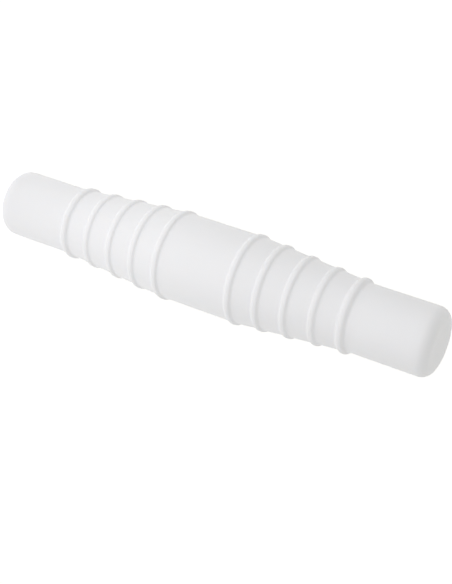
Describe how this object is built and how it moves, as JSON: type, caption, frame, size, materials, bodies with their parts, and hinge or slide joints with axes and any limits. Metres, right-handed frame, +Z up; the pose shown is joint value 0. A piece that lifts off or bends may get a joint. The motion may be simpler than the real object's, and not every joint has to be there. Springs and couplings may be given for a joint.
{
  "type": "double hose connector",
  "caption": "Double-ended hose connector: a blown plastic barrel with ribbed cones and plain spigots, sealed at both ends.",
  "frame": {"origin": "middle of the lower end face, which the part stands on", "axes": "+Z up the axis of the part; X and Y are alike, because it is round"},
  "size_m": [0.0432, 0.0432, 0.226],
  "materials": {
    "white_plastic": "satin, as it leaves the blow mould"
  },
  "bodies": {
    "root": {"hose_connector": "white_plastic"}
  },
  "joints": []
}
